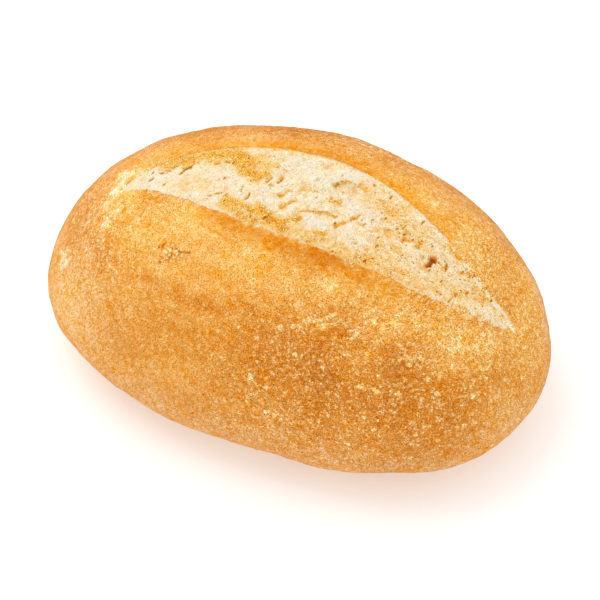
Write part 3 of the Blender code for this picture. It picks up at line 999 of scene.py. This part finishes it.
class Finish:
    """A material built up from nodes."""

    def __init__(self, name):
        self.material = bpy.data.materials.new(name)
        self.material.use_nodes = True
        self.tree = self.material.node_tree
        self.shader = self.tree.nodes["Principled BSDF"]

    def fill(self, node, sockets):
        for name, value in sockets.items():
            socket = node.inputs[name]
            if isinstance(value, Value):
                self.tree.links.new(value.socket, socket)
            elif socket.type == "RGBA":
                socket.default_value = (*value, 1)
            else:
                socket.default_value = value

    def node(self, kind, settings, sockets, output=0):
        """Add a node: its settings first, then the values or links of its sockets."""
        node = self.tree.nodes.new("ShaderNode" + kind)
        for name, value in settings.items():
            if name == "stops":
                self.set_stops(node.color_ramp.elements, value)
            else:
                setattr(node, name, value)
        self.fill(node, sockets)
        return Value(self, node.outputs[output])

    def set_stops(self, elements, stops):
        while len(elements) < len(stops):
            elements.new(0.5)
        for element, (place, colour) in zip(elements, stops):
            element.position = place
            element.color = (*colour, 1)

    def attribute(self, name):
        return self.node("Attribute", {"attribute_name": name}, {}, "Fac")

    def place(self, stretch=(1, 1, 1), turn=0):
        """Where a point lies, in mm; turned in plan by degrees, then drawn out along each axis."""
        spot = self.node("TexCoord", {}, {}, "Object")
        sizes = [much * MM for much in stretch]
        sockets = {"Vector": spot, "Rotation": (0, 0, math.radians(turn)), "Scale": sizes}
        return self.node("Mapping", {"vector_type": "TEXTURE"}, sockets)

    def ragged(self, place, size, much):
        """Shift a place a little and unevenly, so that round marks come out torn."""
        shift = self.node("TexNoise", {}, {"Vector": place, "Scale": 1 / size}, "Color")
        sockets = {0: shift, 1: (much,) * 3, 2: place}
        return self.node("VectorMath", {"operation": "MULTIPLY_ADD"}, sockets)

    def grain(self, place, size, detail=2.0, roughness=0.5, curl=0.0):
        """Noise from about -0.5 to 0.5 with waves of one size in mm; curl makes them worm-like."""
        sockets = {"Vector": place, "Scale": 1 / size, "Detail": detail, "Roughness": roughness}
        return self.node("TexNoise", {}, sockets | {"Distortion": curl}) - 0.5

    def step(self, value, start, end):
        """0 before start, 1 after end, without a corner."""
        sockets = {"Value": value, "From Min": start, "From Max": end}
        return self.node("MapRange", {"interpolation_type": "SMOOTHSTEP"}, sockets)

    def mix(self, first, second, share, blend="MIX"):
        sockets = {0: share, 6: first, 7: second}
        return self.node("Mix", {"data_type": "RGBA", "blend_type": blend}, sockets, 2)

    def tint(self, colour, much, weights):
        """Multiply a colour by 1 + much x weights, channel by channel."""
        sockets = {0: much, 1: weights, 2: (1, 1, 1)}
        factor = self.node("VectorMath", {"operation": "MULTIPLY_ADD"}, sockets)
        factor = self.node("VectorMath", {"operation": "MAXIMUM"}, {0: factor, 1: (0.1, 0.1, 0.1)})
        return self.node("VectorMath", {"operation": "MULTIPLY"}, {0: colour, 1: factor})

    def specks(self, place, spacing, radius, share):
        """Round specks, one at most to a cell: below 1 in a speck, falling to 0 at its centre."""
        sockets = {"Vector": place, "Scale": 1 / spacing}
        away = self.node("TexVoronoi", {}, sockets, "Distance")
        luck = self.node("TexVoronoi", {}, sockets, "Color")
        size = self.node("SeparateColor", {}, {"Color": luck}, "Red") * radius + radius * 0.5
        other = self.node("SeparateColor", {}, {"Color": luck}, "Green")
        absent = self.node("Math", {"operation": "GREATER_THAN"}, {0: other, 1: share})
        return away / size + absent * 9.0

    def cells(self, place, spacing):
        """How far the nearest cell's middle is, as a share of the spacing, and its luck."""
        sockets = {"Vector": place, "Scale": 1 / spacing}
        away = self.node("TexVoronoi", {}, sockets, "Distance")
        luck = self.node("TexVoronoi", {}, sockets, "Color")
        return away, self.node("SeparateColor", {}, {"Color": luck}, "Red")

    def bump(self, height, depth):
        sockets = {"Height": height, "Distance": depth * MM, "Strength": 1.0}
        return self.node("Bump", {}, sockets, "Normal")


# %% [markdown]
# ## Baked crust
#
# Browning is one scale, from cream through gold to brown, so one colour ramp holds it and the
# stored map picks a place on it. On top come the skin's own marks: golden flecks, pebbles and
# bubble tops, lumps and cracks in the burst blister, flour, streaks, the pale torn rim, and dark
# pin pricks. Painted shade browns the hollows and the gaps between pebbles and lumps, and dulls
# the dusky rims. The masks come first, and then the colours are mixed in from the lowest layer up.
# %% Baked crust
BROWNING = [
    (0.00, (0.96, 0.79, 0.46)),
    (0.20, (0.92, 0.575, 0.185)),
    (0.40, (0.82, 0.40, 0.090)),
    (0.60, (0.68, 0.265, 0.040)),
    (0.80, (0.53, 0.158, 0.013)),
    (1.00, (0.34, 0.085, 0.006)),
]
DUSKY_TINT = (0.90, 0.98, 1.85)
PALE = (0.96, 0.78, 0.44)
FLECK = (0.97, 0.71, 0.30)
GREYER = (0.7, 1.0, 1.8)
YELLOWER = (0.12, 1.0, 3.2)


def baked_crust():
    finish = Finish("baked_crust")
    place = finish.place()
    torn_place = finish.ragged(place, 0.4, 0.9)
    fine = finish.grain(place, 0.18, 1.0, 0.6, 0.5)
    medium = finish.grain(place, 1.2, 3.0, 0.6)
    broad = finish.grain(place, 4.0, 2.0, 0.5, 1.0)
    girth = finish.attribute("girth")
    across = finish.grain(finish.place((1, 3.5, 2)), 0.5, 2.0)
    along = finish.grain(finish.place((4, 1, 1), 30), 0.5, 2.0)
    streaks = across * girth + along * (1 - girth)
    blistered = finish.attribute("blistered")
    scorched = finish.attribute("scorched")
    sunny = finish.step(finish.attribute("sunny") + medium, 0.2, 0.9)
    calm = 1 - scorched * 0.5 - sunny * 0.4

    tops = finish.step(finish.attribute("bubble") + fine, 0.15, 0.4)
    curls = finish.step(finish.grain(place, 0.32, 1.0, 0.6, 1.4), -0.14, 0.14) - 0.5
    blobs = finish.step(finish.grain(place, 0.9, 2.0, 0.6, 1.0), 0.13, 0.18)
    big_tops = finish.step(finish.specks(torn_place, 2.0, 0.23, 0.60), 1.1, 0.6)
    away, luck = finish.cells(torn_place, 0.8)
    pebbles = finish.step(away, 0.50, 0.20) * finish.step(luck + blistered * 0.8, 0.8, 1.5)
    shaded_gaps = finish.step(away, 0.40, 0.65) * blistered

    puffed = finish.step(finish.attribute("puffed") + medium, 0.2, 0.6)
    lumps = finish.step(away, 0.50, 0.25) * puffed
    dashes = finish.step(finish.grain(place, 1.0), -0.25, -0.05)
    wrinkles = finish.step(finish.attribute("wrinkle") + medium * 2.0, 0.80, 0.20) * dashes
    flecks = (big_tops * blistered * 0.58 + pebbles * 0.36) * calm
    flecks = flecks + wrinkles * 0.55 + lumps * 0.55
    streaked = finish.step(streaks, 0.12, 0.22) * finish.step(blistered, 0.4, 1.0)
    flour = finish.step(finish.attribute("flour") + medium * 1.1, 0.15, 0.95)
    raw_edge = finish.step(finish.attribute("raw_edge") + fine * 2.5 + medium * 1.5, 0.5, 1.0)
    lightened = finish.step(finish.attribute("lightened") + medium * 2.0, 0.1, 1.0)
    pale = (tops * 0.10 + blobs * 0.30) * blistered * calm
    pale = pale + streaked * 0.40 + puffed * 0.10 + flour * 0.62
    rim = finish.step(finish.attribute("rim"), 0.4, 0.7)
    pale = pale + raw_edge * 0.12 + lightened * 0.45 + rim

    pricks = finish.step(finish.specks(torn_place, 1.0, 0.14, 0.3), 1.0, 0.6)
    cracks = finish.step(finish.attribute("crack") + medium * 0.8, 0.50, 0.12)
    # The stored map of hollows adds painted shade: browner in the hollows, paler on the rises.
    tone = finish.attribute("brown") + finish.attribute("cavity") * 0.6 + cracks * 0.36
    # Painted shade: the gaps between pebbles and between the blister's lumps are browner.
    tone = tone + shaded_gaps * 0.10 + finish.step(away, 0.40, 0.60) * puffed * 0.17
    colour = finish.node("ValToRGB", {"stops": BROWNING}, {"Fac": tone})
    # Painted shade towards the outline and low on the flank, from the stored dusky map.
    colour = finish.mix(colour, DUSKY_TINT, finish.attribute("dusky"), "MULTIPLY")
    # A long step from below 0 rises almost straight, and the offset brings it back to 0 there.
    fleck_share = finish.step(flecks, -0.2, 1.2) * 1.25 - 0.07
    colour = finish.mix(colour, FLECK, fleck_share)
    colour = finish.mix(colour, PALE, finish.step(pale, 0.0, 1.1))
    grit = (fine * (blistered * 1.4 + 2.8) - curls * 0.24) * calm - pricks * 0.30
    colour = finish.tint(colour, grit, GREYER)
    warmth = medium * 0.75 + broad * 0.6 + streaks * 0.5 - scorched * 0.16 - sunny * 0.18
    colour = finish.tint(colour, warmth, YELLOWER)

    height = fine * 1.0 + medium * 0.8 + flecks * 0.8 - shaded_gaps * 0.2 - pricks * 0.6
    finish.fill(finish.shader, {
        "Base Color": colour,
        "Roughness": medium * 0.4 + 0.65,
        "Normal": finish.bump(height, 0.10),
        "Specular IOR Level": 0.0,
    })
    return finish.material


crust.data.materials.append(baked_crust())
print("baked_crust:", len(crust.data.materials[0].node_tree.nodes), "nodes")

# %% [markdown]
# ## Torn crumb
#
# Crumb is matt and pale, cream where it is moist and golden where it is toasted, so it has a ramp
# of its own. Pores, nicks and crumbs too small to model are marks in the colour, with a bump to
# match. Deep holes and slots are darkened by their stored depth as painted shade, the hollows get a
# warm painted shade, the far end gets a warm painted light, and light sinks in a little.
# %% Torn crumb
CRUMB_TOAST = [
    (0.00, (0.91, 0.80, 0.62)),
    (0.20, (0.90, 0.71, 0.45)),
    (0.40, (0.88, 0.57, 0.215)),
    (0.60, (0.85, 0.46, 0.095)),
    (0.80, (0.82, 0.38, 0.045)),
    (1.00, (0.66, 0.25, 0.018)),
]
CREVICE_SHADE_TINT = (1.00, 0.92, 0.78)
DEEP_HOLE_SHADE = (0.62, 0.20, 0.02)
SLIT_SHADE = (0.34, 0.19, 0.05)
PORE_SHADE = (0.75, 1.0, 1.3)
PINKER = (0.1, 0.1, 1.0)
WARM_END_LIGHT = (0.65, 0.0, -1.0)


def torn_crumb():
    finish = Finish("torn_crumb")
    porous = finish.attribute("porous")
    place = finish.place()
    torn_place = finish.ragged(place, 0.6, 0.8)
    fine = finish.grain(place, 0.18, 1.0, 0.6, 0.5)
    medium = finish.grain(finish.place((2, 1, 1)), 0.9, 3.0, 0.6)
    slits = finish.place((2.5, 1, 1), 75)
    hatch = finish.grain(slits, 0.4, 1.0)
    nicks = finish.step(finish.specks(slits, 0.9, 0.24, 0.4), 1.0, 0.7)
    nicks = nicks * finish.step(finish.grain(place, 4.0) + porous * 0.15, 0.0, 0.1)
    cavity = finish.attribute("cavity")
    toast = finish.attribute("toast")
    toasted = finish.step(toast, 0.3, 0.6)
    pores = finish.step(finish.grain(torn_place, 0.36, 1.0, 0.6, 1.0), 0.15, 0.22)
    pricks = finish.step(finish.specks(torn_place, 1.3, 0.16, 0.5), 1.0, 0.6)
    crumbs = finish.step(finish.grain(place, 0.5, 2.0, 0.6, 1.0), 0.06, 0.14)
    tone = toast + medium * (porous * 0.5 + 0.25) + pores * (toasted * 0.5 + 0.15) + nicks * 0.45
    # Painted shade: the hollows go further up the ramp, rises paler, then a warm tint darkens
    # hollows.
    tone = tone - crumbs * toasted * 0.34 + cavity * 0.5
    colour = finish.node("ValToRGB", {"stops": CRUMB_TOAST}, {"Fac": tone})
    depth = finish.step(cavity + fine * 0.3, 0.04, 0.5)
    colour = finish.mix(colour, CREVICE_SHADE_TINT, depth, "MULTIPLY")
    # Painted shade: the deepest holes go dark orange-brown, and each slot's floor dark brown.
    colour = finish.mix(colour, DEEP_HOLE_SHADE, finish.step(finish.attribute("hole"), 1.0, 1.8))
    slot = finish.step(finish.attribute("slot") + fine * 0.8, 0.1, 0.9)
    colour = finish.mix(colour, SLIT_SHADE, slot)
    grit = fine * (porous * 0.7 + toasted * 2.0 + 1.6) + hatch * 0.3 * (1 - porous) - pricks * 0.28
    grit = grit - pores * (porous * 0.6 + toasted * 0.5 + 0.25) - nicks * 0.40
    colour = finish.tint(colour, grit, PORE_SHADE)
    colour = finish.tint(colour, finish.grain(place, 2.5, 3.0) * 0.40 + medium * 0.2, PINKER)
    # Painted light: the far end, which turns away from the panel, is made warmer and less blue.
    colour = finish.tint(colour, porous * 0.08, WARM_END_LIGHT)
    finish.fill(finish.shader, {
        "Base Color": colour,
        "Roughness": fine * 0.2 + 0.8,
        "Normal": finish.bump(fine * 1.6 + medium * 1.0 - pores * 0.8 - pricks * 0.8, 0.12),
        "Specular IOR Level": 0.0,
        "Subsurface Weight": 0.2,
        "Subsurface Radius": (1.0, 0.6, 0.3),
        "Subsurface Scale": 0.5 * MM,
    })
    return finish.material


crumb.data.materials.append(torn_crumb())
print("torn_crumb:", len(crumb.data.materials[0].node_tree.nodes), "nodes")

# %% [markdown]
# Each piece rides on the roll's root body, and the imported roll that it stands in for is hidden.
# %% Tie both pieces to the roll
for piece, slot in ((crust, "crust"), (crumb, "crumb")):
    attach(piece, "root")
    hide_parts("bread_roll")
    print(piece.name, "rides on root")

# %% [markdown]
# ## Floor, light and camera
#
# A white studio. The floor is a plain sheet, pale enough to throw light back under the roll, and
# it gives a little light of its own, so that it fades into the white behind.
# %% Floor
FLOOR_SIDE = 4.0
FLOOR_GREY = 0.72
FLOOR_GLOW = 0.33
start_fresh()
bpy.ops.mesh.primitive_plane_add(size=FLOOR_SIDE)
floor = bpy.context.object
floor.name = "floor"
floor_finish = Finish("pale_floor")
floor_finish.fill(floor_finish.shader, {
    "Base Color": (FLOOR_GREY,) * 3,
    "Roughness": 0.9,
    "Emission Color": (1, 1, 1),
    "Emission Strength": FLOOR_GLOW,
})
floor.data.materials.append(floor_finish.material)
print("floor, m:", FLOOR_SIDE)

# %% [markdown]
# Light comes from all round, and one wide soft panel overhead gives the roll its shape.
# %% Light
PANEL_PLACE = (-0.50, 0.10, 1.0)
PANEL_SIDE = 0.8
PANEL_WATTS = 3.8
scene = bpy.context.scene
world = bpy.data.worlds.new("studio")
scene.world = world
world.use_nodes = True
world.node_tree.nodes["Background"].inputs["Color"].default_value = (1, 1, 1, 1)
world.node_tree.nodes["Background"].inputs["Strength"].default_value = 1.0
scene.view_settings.view_transform = "Standard"
lamp = bpy.data.lights.new("panel", "AREA")
lamp.size = PANEL_SIDE
lamp.energy = PANEL_WATTS
panel = bpy.data.objects.new("panel", lamp)
panel.location = PANEL_PLACE
panel.rotation_euler = (-Vector(PANEL_PLACE)).to_track_quat("-Z", "Y").to_euler()
scene.collection.objects.link(panel)
print("panel, W:", PANEL_WATTS)

# %% [markdown]
# The camera stands to the right of the front and well above it. A long lens keeps the roll's
# outline nearly free of perspective. Its angles and its aim, a little beside and below the roll's
# middle, are the ones for which the loaf's outline was fitted.
# %% Camera
VIEW_AZIMUTH = math.radians(22.9)
VIEW_ELEVATION = math.radians(45.66)
VIEW_DISTANCE = 0.7
FRAME_WIDTH = 0.124
SENSOR_WIDTH = 36.0
AIM_HEIGHT = 20.9 * MM
AIM_RIGHT, AIM_DOWN = 0.23, 3.12
level = math.cos(VIEW_ELEVATION)
toward_camera = Vector((
    math.sin(VIEW_AZIMUTH) * level,
    -math.cos(VIEW_AZIMUTH) * level,
    math.sin(VIEW_ELEVATION),
))
right = Vector((math.cos(VIEW_AZIMUTH), math.sin(VIEW_AZIMUTH), 0))
up = toward_camera.cross(right)
target = Vector((0, 0, AIM_HEIGHT)) + shift + right * AIM_RIGHT * MM - up * AIM_DOWN * MM
lens = bpy.data.cameras.new("camera")
lens.sensor_width = SENSOR_WIDTH
lens.lens = SENSOR_WIDTH * VIEW_DISTANCE / FRAME_WIDTH
camera = bpy.data.objects.new("camera", lens)
camera.location = target + toward_camera * VIEW_DISTANCE
camera.rotation_euler = (-toward_camera).to_track_quat("-Z", "Y").to_euler()
scene.collection.objects.link(camera)
scene.camera = camera
print("camera, m:", [round(side, 3) for side in camera.location])
